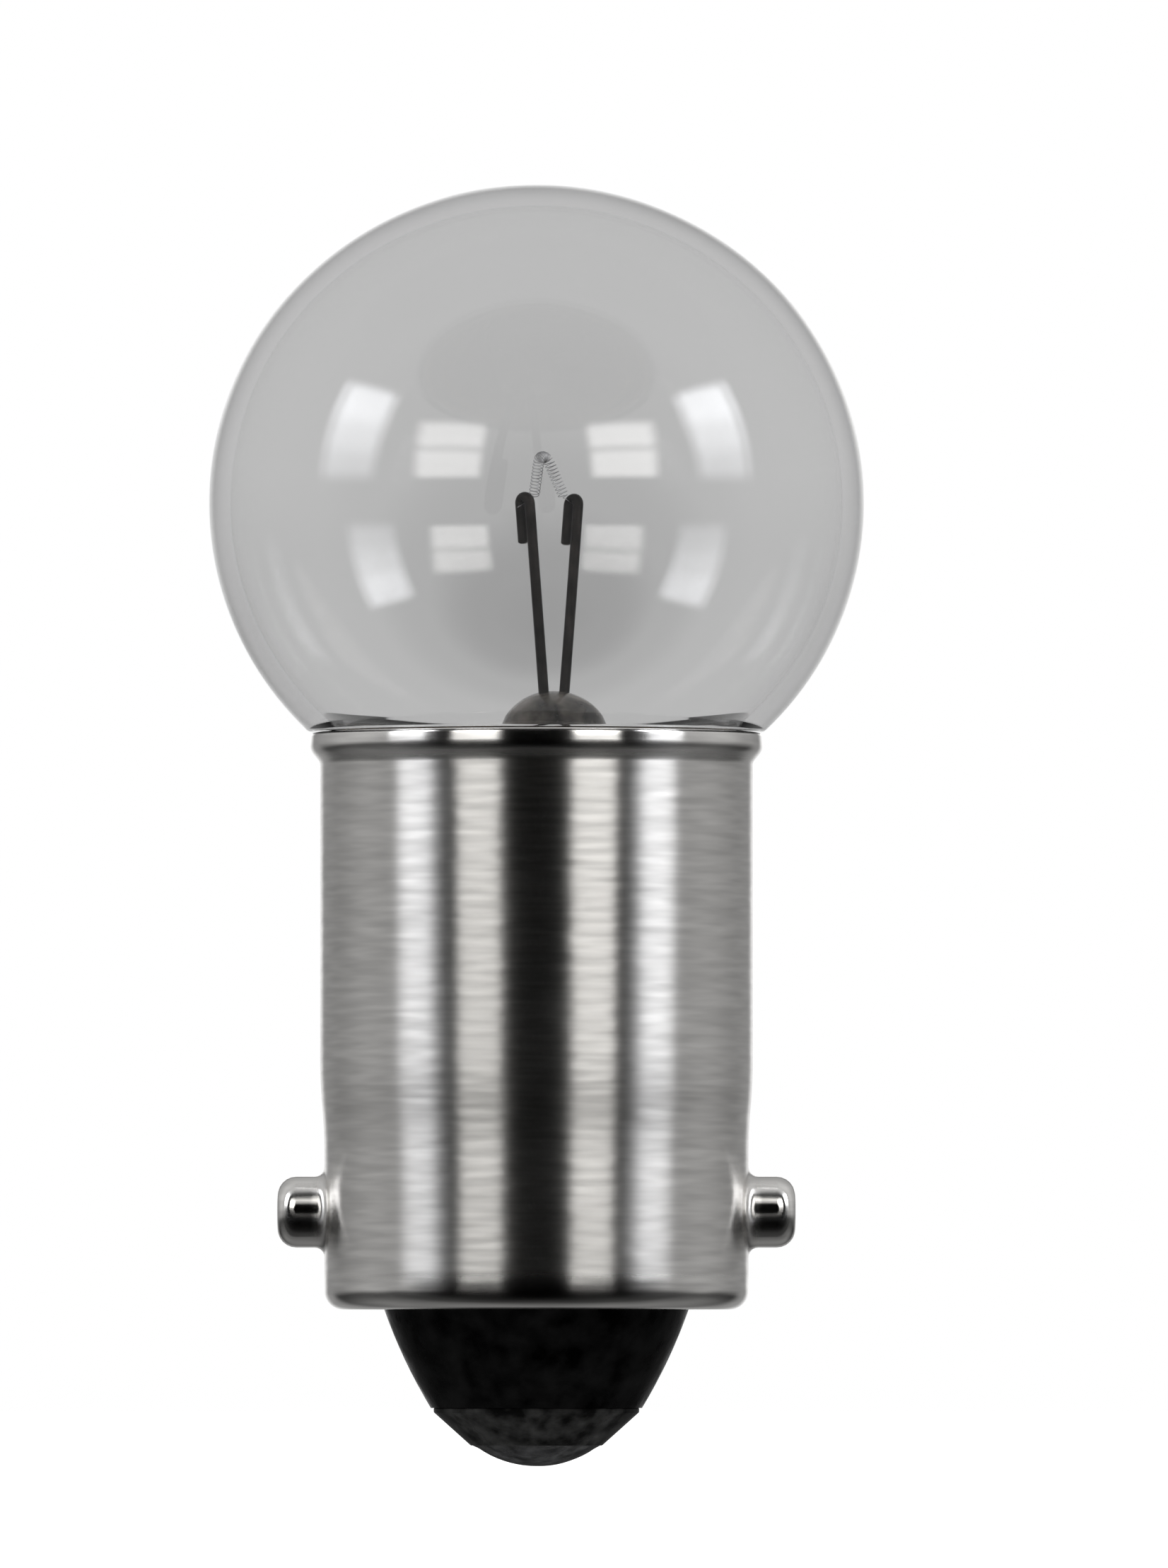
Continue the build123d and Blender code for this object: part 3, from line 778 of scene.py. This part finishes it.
class BULB_OT_leads(bpy.types.Operator):
    """Both lead wires, bent, beaded and folded into clamps"""

    bl_idname = "bulb.leads"
    bl_label = "Lead wires"

    def execute(self, context):
        scene = context.scene
        m, c = scene.bulb_mount, scene.bulb_contact
        plan = MountPlan(scene)
        under_seal = scene.bulb_glass.stub_tip + m.route_bend
        contact_lead = [
            plan.axis_point(0, m.wire_end),
            plan.axis_point(0, c.disc_top + m.lead_diameter),
            plan.axis_point(-m.seal_spread, under_seal),
            *plan.clamp_route(-1),
        ]
        shell_lead = [
            plan.axis_point(m.side_reach, m.side_height),
            plan.axis_point(m.side_radius, m.side_height),
            plan.axis_point(m.side_radius, m.side_knee),
            plan.axis_point(m.side_foot, under_seal),
            plan.axis_point(m.seal_spread, under_seal),
            *plan.clamp_route(1),
        ]
        route = m.route_bend
        finish = wire_finish("lead_wire", scene.bulb_finish.lead_wire, roughness=0.42)
        leads = (
            ("contact_lead", contact_lead, [route, route], "lead_wire_contact"),
            ("shell_lead", shell_lead, [m.lead_diameter, route, route, route], "lead_wire_shell"),
        )
        for name, points, bends, replaced in leads:
            bm = bmesh.new()
            way = bent_wire(points, bends + plan.clamp_bends())
            sweep_wire(bm, way, m.lead_diameter / 2, scene.bulb_smooth.wire_sides)
            make_piece(name, bm, finish, "lead_wire", replaced)
        return {"FINISHED"}


class BULB_OT_filament(bpy.types.Operator):
    """Coiled tungsten wire in an inverted V, its tails held in the clamps"""

    bl_idname = "bulb.filament"
    bl_label = "Filament"

    def execute(self, context):
        scene = context.scene
        m = scene.bulb_mount
        plan = MountPlan(scene)
        aside = plan.fold_step / 2
        top = plan.point(0, globe_middle(scene) + m.coil_rise, aside + m.coil_lean)
        feet = [plan.point(s * m.coil_spread, plan.clamp_top, aside) for s in (-1, 1)]
        tails = [
            plan.point(s * (m.clamp_spread + m.tail_reach), plan.clamp_top - m.lead_diameter, aside)
            for s in (-1, 1)
        ]
        line = bent_wire([feet[0], top, feet[1]], [m.coil_bend], 4.0)
        turns = self.coil(line, m, tau / scene.bulb_smooth.coil_steps)
        route = [tails[0]] + turns + [tails[1]]
        bm = bmesh.new()
        sweep_wire(bm, route, m.coil_wire / 2, scene.bulb_smooth.coil_sides)
        finish = wire_finish("tungsten", scene.bulb_finish.tungsten, roughness=0.45)
        make_piece("filament_coil", bm, finish, "tungsten", "filament")
        return {"FINISHED"}

    def coil(self, line, m, step):
        """Helix round a line: open legs, closer turns at the top, ends drawn in to the line."""
        runs = [(b - a).length for a, b in zip(line, line[1:])]
        total = sum(runs)
        radius = (m.coil_diameter - m.coil_wire) / 2
        side = (line[-1] - line[0]).cross(line[len(line) // 2] - line[0]).normalized()
        points, distance, turn = [], 0.0, 0.0
        while distance < total:
            place, along = self.on_line(line, runs, distance)
            width = radius * min(1.0, min(distance, total - distance) / m.coil_pitch)
            points.append(place + (side * cos(turn) + side.cross(along) * sin(turn)) * width)
            from_top = abs(distance - total / 2) / m.coil_bend
            pitch = m.top_pitch + (m.coil_pitch - m.top_pitch) * min(1.0, from_top**2)
            distance += pitch * step / tau
            turn += step
        return points

    def on_line(self, line, runs, distance):
        """Place and direction at a distance along a line of points."""
        for start, end, run in zip(line, line[1:], runs):
            if distance <= run:
                break
            distance -= run
        along = (end - start).normalized()
        return start + along * min(distance, run), along


class BULB_OT_shell(bpy.types.Operator):
    """Plated shell: flared lip, pressed-out pins and turned-in foot"""

    bl_idname = "bulb.shell"
    bl_label = "Plated shell"

    def execute(self, context):
        scene = context.scene
        s = scene.bulb_shell
        segments = scene.bulb_smooth.segments
        rows = scene.bulb_smooth.pin_rows
        patch = evenly(-s.pin_patch, s.pin_patch, rows)
        outside, inside = self.outside(s, patch), self.inside(s, patch)
        bm = bmesh.new()
        grid = turn_outline(bm, outside + inside, segments)
        first_out = self.row_of(outside, s.foot_radius, patch[0])
        first_in = len(outside) + self.row_of(inside, s.foot_radius - s.wall, patch[-1])
        for side in (1, -1):
            middle = 0 if side > 0 else segments // 2
            columns = [(middle + k) % segments for k in range(-rows // 2, rows // 2 + 1)]
            skin = grid[first_out : first_out + rows + 1]
            self.press(bm, skin, columns, side, s.foot_radius, *self.pin_skin(s))
            lining = grid[first_in : first_in + rows + 1]
            self.press(bm, lining, columns, side, s.foot_radius - s.wall, *self.pin_bore(s))
        bmesh.ops.recalc_face_normals(bm, faces=bm.faces)
        lip_foot = s.rise - s.lip_face - s.lip_flare
        lip, pins = (lip_foot, lip_foot + s.lip_flare), (s.radius, s.radius + s.pin_root)
        foot = (s.foot + s.foot_corner, s.foot + 2 * s.foot_corner)
        finish = nickel_finish(scene.bulb_finish.nickel, lip, pins, foot)
        piece = make_piece("plated_shell", bm, finish, "nickel_plate", "base_shell")
        self.nick_lip(piece, s, MountPlan(scene).across)
        return {"FINISHED"}

    def outside(self, s, patch):
        """Outline up the outside: foot, waist, wall and flared lip."""
        inner, lip = s.radius - s.wall, s.radius + s.lip_overhang
        lip_edge = s.rise - s.lip_face
        foot = rounded(
            [
                (s.opening, s.foot, 0),
                (s.foot_radius, s.foot, s.foot_corner),
                (s.foot_radius, patch[0], 0),
            ]
        )
        rows = [(s.foot_radius, z) for z in patch[1:]]
        waist = waist_bend((s.foot_radius, s.waist_low), (s.radius, s.waist_high))
        wall = rounded(
            [
                (s.radius, s.waist_high, 0),
                (s.radius, lip_edge - s.lip_flare, s.lip_root),
                (lip, lip_edge, s.lip_edge),
                (lip - s.lip_lean, s.rise, s.lip_top),
                (inner, s.rise, s.lip_mouth),
                (inner, lip_edge, 0),
            ]
        )
        return foot + rows + waist + wall[1:]

    def inside(self, s, patch):
        """Outline down the inside, from the wall to the foot's opening."""
        foot_radius = s.foot_radius - s.wall
        floor = s.foot + s.wall
        waist = waist_bend((foot_radius, s.waist_low), (s.radius - s.wall, s.waist_high))
        rows = [(foot_radius, z) for z in reversed(patch[1:])]
        corner = s.foot_corner - s.wall
        foot = rounded([(foot_radius, patch[0], 0), (foot_radius, floor, corner), (s.opening, floor, 0)])
        return waist[::-1] + rows + foot

    def row_of(self, outline, radius, height):
        """Index of the outline's point nearest to a place."""
        apart = [abs(r - radius) + abs(z - height) for r, z in outline]
        return apart.index(min(apart))

    def pin_skin(self, s):
        """Pin's section outside: on the wall as (radius, lift), then free as (radius, reach)."""
        turns = [radians(a) for a in range(0, 91, 15)]
        foot = s.pin_radius + s.pin_root
        on_wall = [(foot - s.pin_root * sin(t), s.pin_root * (1 - cos(t))) for t in turns]
        straight = s.pin_reach - s.pin_edge
        end = [(s.pin_radius - s.pin_edge * (1 - cos(t)), straight + s.pin_edge * sin(t)) for t in turns]
        flat = s.pin_radius - s.pin_edge
        return on_wall, end + [(flat / 2, s.pin_reach)], s.pin_reach

    def pin_bore(self, s):
        """The hollow that pressing leaves inside a pin."""
        bore = s.pin_radius - s.pin_wall
        end = s.pin_reach - s.pin_wall
        return [(bore, 0.0)], [(bore, end), (bore / 2, end)], end

    def press(self, bm, rows, columns, side, wall_radius, on_wall, free, end):
        """Opens the wall round a pin's axis and grows the pin's section out of it."""
        low, high = rows[0], rows[-1]
        left, right = columns[0], columns[-1]
        border = [low[k] for k in columns[:-1]] + [row[right] for row in rows[:-1]]
        border += [high[k] for k in reversed(columns[1:])] + [row[left] for row in reversed(rows[1:])]
        places = [v.co.copy() for v in border]
        bmesh.ops.delete(bm, geom=[row[k] for row in rows[1:-1] for k in columns[1:-1]], context="VERTS")
        spokes = [atan2(p.z, p.y) for p in places]
        foot = on_wall[0][0]

        def wall_point(y, z, lift=0.0):
            return Vector((side * (sqrt(wall_radius**2 - y * y) + lift), y, z))

        loops = [border]
        for share in (0.25, 0.5, 0.75):
            ring = []
            for place, turn in zip(places, spokes):
                y = place.y + (foot * cos(turn) - place.y) * share
                z = place.z + (foot * sin(turn) - place.z) * share
                ring.append(bm.verts.new(wall_point(y, z)))
            loops.append(ring)
        for radius, lift in on_wall:
            loops.append([bm.verts.new(wall_point(radius * cos(t), radius * sin(t), lift)) for t in spokes])
        for radius, reach in free:
            loops.append([bm.verts.new((side * reach, radius * cos(t), radius * sin(t))) for t in spokes])
        tip = bm.verts.new((side * end, 0, 0))
        count = len(border)
        for near, far in zip(loops, loops[1:]):
            for k in range(count):
                n = (k + 1) % count
                bm.faces.new((near[k], near[n], far[n], far[k]))
        for k in range(count):
            bm.faces.new((loops[-1][k], loops[-1][(k + 1) % count], tip))

    def nick_lip(self, piece, s, across):
        """Cuts the nick in the lip that the side wire comes out of."""
        deep = 2 * (s.wall + s.lip_overhang)
        tall = 2 * (s.rise - s.notch_floor)
        cutter_mesh = bpy.data.meshes.new("nick")
        bm = bmesh.new()
        bmesh.ops.create_cube(bm, size=1.0)
        bmesh.ops.scale(bm, vec=(deep, s.notch_width, tall), verts=bm.verts)
        turn = Matrix.Rotation(atan2(across.y, across.x), 4, "Z")
        place = Matrix.Translation(across * s.radius + Vector((0, 0, s.rise)))
        bmesh.ops.transform(bm, matrix=place @ turn, verts=bm.verts)
        bm.to_mesh(cutter_mesh)
        bm.free()
        cutter = bpy.data.objects.new("nick", cutter_mesh)
        bpy.context.scene.collection.objects.link(cutter)
        cut = piece.modifiers.new("nick", "BOOLEAN")
        cut.operation, cut.solver, cut.object = "DIFFERENCE", "EXACT", cutter
        bpy.context.view_layer.update()
        finished = piece.evaluated_get(bpy.context.evaluated_depsgraph_get())
        cut_mesh = bpy.data.meshes.new_from_object(finished)
        piece.modifiers.clear()
        bpy.data.objects.remove(cutter)
        if len(cut_mesh.polygons) < len(piece.data.polygons) / 2:
            raise RuntimeError("the nick in the lip could not be cut")
        piece.data = cut_mesh


class BULB_OT_cement(bpy.types.Operator):
    """Cement ring between the neck and the shell"""

    bl_idname = "bulb.cement"
    bl_label = "Basing cement"

    def execute(self, context):
        scene = context.scene
        c = scene.bulb_contact
        inner = scene.bulb_glass.neck_radius
        turn = scene.bulb_mount.turn
        half = c.cement_slot / 2 / inner
        heights = evenly(c.cement_foot, c.cement_top, scene.bulb_smooth.cement_rows)
        outline = [(inner, z) for z in heights]
        outline += [(c.cement_radius, z) for z in reversed(heights)]
        bm = bmesh.new()
        turn_outline(bm, outline, scene.bulb_smooth.segments, (turn + half, turn + tau - half))
        finish = cement_finish(scene.bulb_finish.cement)
        make_piece("cement_ring", bm, finish, "cement", "basing_cement")
        return {"FINISHED"}


class BULB_OT_insulator(bpy.types.Operator):
    """Black glass insulator: disc in the foot, bowed cone and nose"""

    bl_idname = "bulb.insulator"
    bl_label = "Insulator"

    def execute(self, context):
        scene = context.scene
        s, c = scene.bulb_shell, scene.bulb_contact
        floor = s.foot + s.wall
        nose_top, nose_face = nose_radii(c)
        chord = Vector((c.tip_radius - s.opening, c.rim_top - s.foot))
        bow = cap_radius(chord.length / 2, c.bulge)
        middle = Vector((s.opening + c.tip_radius, s.foot + c.rim_top)) / 2
        inward = Vector((chord.y, -chord.x)).normalized()
        centre = middle + inward * (bow - c.bulge)
        start = degrees(atan2(s.foot - centre.y, s.opening - centre.x))
        end = degrees(atan2(c.rim_top - centre.y, c.tip_radius - centre.x))
        outline = rounded(
            [
                (c.bore, c.disc_top, 0),
                (c.disc_radius, c.disc_top, 0),
                (c.disc_radius, floor, s.foot_corner - s.wall),
                (s.opening, floor, 0),
                (s.opening, s.foot, 0),
            ]
        )
        outline += arc(centre, bow, start, end, 1.5)[1:]
        outline += [(nose_top, c.rim_top), (nose_face, c.nose), (c.bore, c.nose)]
        bm = bmesh.new()
        turn_outline(bm, outline, scene.bulb_smooth.segments)
        finish = black_glass_finish(scene.bulb_finish.black_glass)
        make_piece("insulator", bm, finish, "black_glass", "base_insulator")
        return {"FINISHED"}


class BULB_OT_contact(bpy.types.Operator):
    """Contact eyelet and the solder dome that closes it"""

    bl_idname = "bulb.contact"
    bl_label = "Centre contact"

    def execute(self, context):
        scene = context.scene
        c = scene.bulb_contact
        segments = scene.bulb_smooth.segments
        nose_top, nose_face = nose_radii(c)
        outline = rounded(
            [
                (nose_top, c.rim_top, 0),
                (c.rim_radius, c.rim_top, c.rim_round / 2),
                (c.rim_radius, c.rim_top - c.rim_height, c.rim_round),
                (c.face_radius, c.face, c.rim_round),
                (c.hole, c.face, 0),
                (c.hole, c.nose, 0),
                (nose_face, c.nose, 0),
            ]
        )
        bm = bmesh.new()
        turn_outline(bm, outline, segments)
        finish = contact_finish(scene.bulb_finish.contact)
        make_piece("eyelet_cup", bm, finish, "contact_metal", "contact_eyelet")
        dome = [(0, c.nose), (c.hole, c.nose), (c.hole, c.face)]
        dome += cap(c.dome_radius, c.face, c.dome_tip)
        dome[-1] = (0, c.dome_tip)
        bm = bmesh.new()
        turn_outline(bm, dome, segments // 2)
        roughen(bm, size=0.7 * MM, depth=0.05 * MM, seed=5.0, top=c.face - c.rim_height / 4)
        base = scene.bulb_finish.contact_solder
        finish = solder_finish("tarnished_solder", base, metallic=0.6, **DULL)
        make_piece("contact_dome", bm, finish, "solder", "contact_solder")
        return {"FINISHED"}


class BULB_OT_side_solder(bpy.types.Operator):
    """Solder drop where the side wire meets the lip"""

    bl_idname = "bulb.side_solder"
    bl_label = "Side solder"

    def execute(self, context):
        scene = context.scene
        s, c = scene.bulb_shell, scene.bulb_contact
        plan = MountPlan(scene)
        flat_top = s.rise - s.notch_floor
        outline = [(0, flat_top)]
        outline += arc((0, 0), c.drop_radius, degrees(asin(flat_top / c.drop_radius)), -90, 5.0)
        outline[-1] = (0, -c.drop_radius)
        bm = bmesh.new()
        turn_outline(bm, outline, scene.bulb_smooth.drop_sides)
        roughen(bm, size=0.5 * MM, depth=0.08 * MM, seed=7.0)
        centre = plan.axis_point(s.radius - c.drop_sink, s.notch_floor)
        bmesh.ops.translate(bm, verts=bm.verts, vec=centre)
        for vert in bm.verts:
            stretch = max(1.0, (s.radius - s.wall) / vert.co.xy.length)
            vert.co = Vector((vert.co.x * stretch, vert.co.y * stretch, vert.co.z))
        finish = solder_finish("dull_solder", scene.bulb_finish.side_solder, metallic=1.0)
        make_piece("side_solder", bm, finish, "solder", "shell_solder")
        return {"FINISHED"}


class BULB_OT_stage(bpy.types.Operator):
    """Pale floor, soft boxes, surroundings and camera"""

    bl_idname = "bulb.stage"
    bl_label = "Studio stage"

    def execute(self, context):
        scene = context.scene
        self.lay_floor(scene)
        self.hang_lights(scene)
        self.paint_surroundings(scene)
        self.place_camera(scene)
        scene.view_settings.view_transform = "Standard"
        return {"FINISHED"}

    def lay_floor(self, scene):
        """Round pale floor under the contact's tip."""
        mesh = bpy.data.meshes.new("floor")
        bm = bmesh.new()
        sides = scene.bulb_smooth.segments // 2
        bmesh.ops.create_circle(bm, cap_ends=True, segments=sides, radius=scene.bulb_stage.floor_radius)
        bm.to_mesh(mesh)
        bm.free()
        glow = {"Emission_Color": (1, 1, 1, 1), "Emission_Strength": scene.bulb_stage.floor_glow}
        material, _, _ = new_finish("pale_floor", scene.bulb_finish.floor, roughness=0.7, **glow)
        mesh.materials.append(material)
        floor = bpy.data.objects.new("floor", mesh)
        floor.location.z = scene.bulb_contact.dome_tip
        floor.visible_glossy = False
        floor.visible_transmission = False
        scene.collection.objects.link(floor)

    def hang_lights(self, scene):
        """Two warm inner soft boxes with a bar across, and two bright outer ones that fade downward."""
        barred = ((0.0, 0.0), (0.14, 1.0), (0.40, 1.0), (0.52, 0.55), (0.62, 1.0), (0.84, 0.95), (1.0, 0.0))
        fading = ((0.0, 0.0), (0.2, 0.4), (0.5, 0.7), (0.72, 1.0), (0.86, 0.95), (1.0, 0.0))
        inner = {"rise": 16.5, "wide": 27, "tall": 22, "tint": (1.0, 0.992, 0.975), "tones": barred}
        outer = {"rise": 20.0, "wide": 25, "tall": 32, "tint": (0.95, 0.965, 1.0), "tones": fading}
        for name, turn, radiance, box in (
            ("inner_left", -31, 4.6, inner),
            ("inner_right", 31, 5.2, inner),
            ("outer_left", -69.5, 6.2, outer),
            ("outer_right", 69.5, 6.8, outer),
        ):
            self.hang_box(scene, name, turn, radiance, **box)

    def hang_box(self, scene, name, turn, radiance, rise, wide, tall, tint, tones):
        """One soft box with soft edges; its place and size are angles seen from the bulb."""
        distance = scene.bulb_stage.light_distance
        width = 2 * distance * tan(radians(wide / 2))
        height = 2 * distance * tan(radians(tall / 2))
        lamp = bpy.data.lights.new(name, "AREA")
        lamp.shape, lamp.size, lamp.size_y = "RECTANGLE", width, height
        lamp.energy = radiance * pi * width * height
        lamp.color = tint
        lamp.use_nodes = True
        tree = lamp.node_tree
        place = node(tree, "NewGeometry")
        split = node(tree, "SeparateXYZ")
        tree.links.new(place.outputs["Parametric"], split.inputs["Vector"])
        soft_sides = ((0.0, 0.0), (0.16, 1.0), (0.84, 1.0), (1.0, 0.0))
        upright = tone_ramp(tree, split.outputs["Y"], tones)
        sideways = tone_ramp(tree, split.outputs["X"], soft_sides)
        tree.links.new(times(tree, upright, sideways), tree.nodes["Emission"].inputs["Strength"])
        box = bpy.data.objects.new(name, lamp)
        a, e = radians(turn), radians(rise)
        toward = Vector((sin(a) * cos(e), -cos(a) * cos(e), sin(e)))
        middle = Vector((0, 0, globe_middle(scene)))
        box.location = middle + toward * distance
        box.rotation_euler = toward.to_track_quat("Z", "Y").to_euler()
        box.visible_camera = False
        scene.collection.objects.link(box)

    def paint_surroundings(self, scene):
        """White to the eye, a grey backdrop through the glass, and the room in reflections."""
        world = bpy.data.worlds.new("studio")
        world.use_nodes = True
        scene.world = world
        tree = world.node_tree
        direction = node(tree, "TexCoord").outputs["Generated"]
        rays = node(tree, "LightPath")
        through = node(tree, "Mix", data_type="RGBA")
        seen = node(tree, "Mix", data_type="RGBA")
        tree.links.new(rays.outputs["Is Transmission Ray"], through.inputs["Factor"])
        tree.links.new(self.room(tree, direction), through.inputs[MIX_FIRST])
        tree.links.new(self.backdrop(scene, tree, direction), through.inputs[MIX_SECOND])
        tree.links.new(rays.outputs["Is Camera Ray"], seen.inputs["Factor"])
        tree.links.new(through.outputs[MIX_RESULT], seen.inputs[MIX_FIRST])
        seen.inputs[MIX_SECOND].default_value = (1.0, 1.0, 1.0, 1.0)
        tree.links.new(seen.outputs[MIX_RESULT], tree.nodes["Background"].inputs["Color"])

    def room(self, tree, direction):
        """What metal and glass mirror: dark in front, grey at the sides, white behind, dim below."""
        split = node(tree, "SeparateXYZ")
        tree.links.new(direction, split.inputs["Vector"])
        depth = spread(tree, split.outputs["Y"], 0.0, 1.0, start=-1.0, end=1.0)
        front = ((0.0, 0.001), (0.15, 0.004), (0.24, 0.05))
        sides = ((0.42, 0.5), (0.6, 0.58), (0.88, 0.4), (0.96, 0.0), (1.0, 1.0))
        around = tone_ramp(tree, depth, front + sides)
        above = spread(tree, split.outputs["Z"], 0.06, 1.0, start=-0.22, end=0.12)
        table = ((0.0, 0.0), (0.45, 0.005), (0.56, 0.09), (0.75, 0.16), (1.0, 0.1))
        under = tone_ramp(tree, depth, table)
        below = spread(tree, split.outputs["Z"], 1.0, 0.0, start=-0.7, end=-0.25)
        total = tone_ramp(tree, depth, ((0.0, 0.0), (0.88, 0.0), (0.96, 0.26), (1.0, 0.3)))
        for tone, share in ((around, above), (under, below)):
            scaled = node(tree, "VectorMath", operation="SCALE")
            tree.links.new(tone, scaled.inputs["Vector"])
            tree.links.new(share, scaled.inputs["Scale"])
            added = node(tree, "VectorMath", operation="ADD")
            tree.links.new(total, added.inputs[0])
            tree.links.new(scaled.outputs["Vector"], added.inputs[1])
            total = added.outputs["Vector"]
        return total

    def backdrop(self, scene, tree, direction):
        """Grey that shows through the glass, with a soft patch of painted shade behind the globe's foot."""
        stage = scene.bulb_stage
        patch = node(tree, "VectorMath", operation="DOT_PRODUCT")
        patch.inputs[1].default_value = (0.0, cos(stage.painted_shade_rise), sin(stage.painted_shade_rise))
        tree.links.new(direction, patch.inputs[0])
        inward = spread(tree, patch.outputs["Value"], 0.0, 1.0, start=cos(stage.painted_shade_reach), end=1.0)
        # Grey backdrop that darkens into painted shade towards the patch's middle
        tones = ((0.0, 0.575), (0.58, 0.56), (0.86, 0.49), (0.97, 0.39), (1.0, 0.37))
        return tone_ramp(tree, inward, tones)

    def place_camera(self, scene):
        """Long lens in front of the bulb, looking up a little."""
        stage = scene.bulb_stage
        data = bpy.data.cameras.new("camera")
        data.lens = data.sensor_width * stage.camera_distance / stage.view_height
        data.clip_start, data.clip_end = 0.01, 5.0
        camera = bpy.data.objects.new("camera", data)
        look = Vector((0, cos(stage.camera_tilt), sin(stage.camera_tilt)))
        camera.location = Vector((stage.aim_side, 0, stage.aim_height)) - look * stage.camera_distance
        camera.rotation_euler = look.to_track_quat("-Z", "Y").to_euler()
        scene.collection.objects.link(camera)
        scene.camera = camera


class BULB_PT_panel(bpy.types.Panel):
    """Lists the steps that build the bulb's looks"""

    bl_idname = "BULB_PT_panel"
    bl_label = "Bayonet bulb"
    bl_space_type = "VIEW_3D"
    bl_region_type = "UI"
    bl_category = "Bulb"

    def draw(self, context):
        for operator in OPERATORS:
            self.layout.operator(operator.bl_idname)


OPERATORS = (
    BULB_OT_stage,
    BULB_OT_globe,
    BULB_OT_bead,
    BULB_OT_leads,
    BULB_OT_filament,
    BULB_OT_shell,
    BULB_OT_cement,
    BULB_OT_insulator,
    BULB_OT_contact,
    BULB_OT_side_solder,
)
GROUPS = {
    "bulb_shell": ShellSizes,
    "bulb_glass": GlassSizes,
    "bulb_mount": MountSizes,
    "bulb_contact": ContactSizes,
    "bulb_finish": Finishes,
    "bulb_stage": StageSizes,
    "bulb_smooth": SmoothSettings,
}


def register():
    """Adds the property groups, the operators and the panel."""
    for name, group in GROUPS.items():
        bpy.utils.register_class(group)
        setattr(bpy.types.Scene, name, PointerProperty(type=group))
    for cls in (*OPERATORS, BULB_PT_panel):
        bpy.utils.register_class(cls)


def unregister():
    """Takes them away again."""
    for cls in (BULB_PT_panel, *reversed(OPERATORS)):
        bpy.utils.unregister_class(cls)
    for name, group in GROUPS.items():
        delattr(bpy.types.Scene, name)
        bpy.utils.unregister_class(group)


def main():
    """Builds every piece in order."""
    register()
    for operator in OPERATORS:
        group, name = operator.bl_idname.split(".")
        getattr(getattr(bpy.ops, group), name)()


if __name__ == "__main__":
    main()
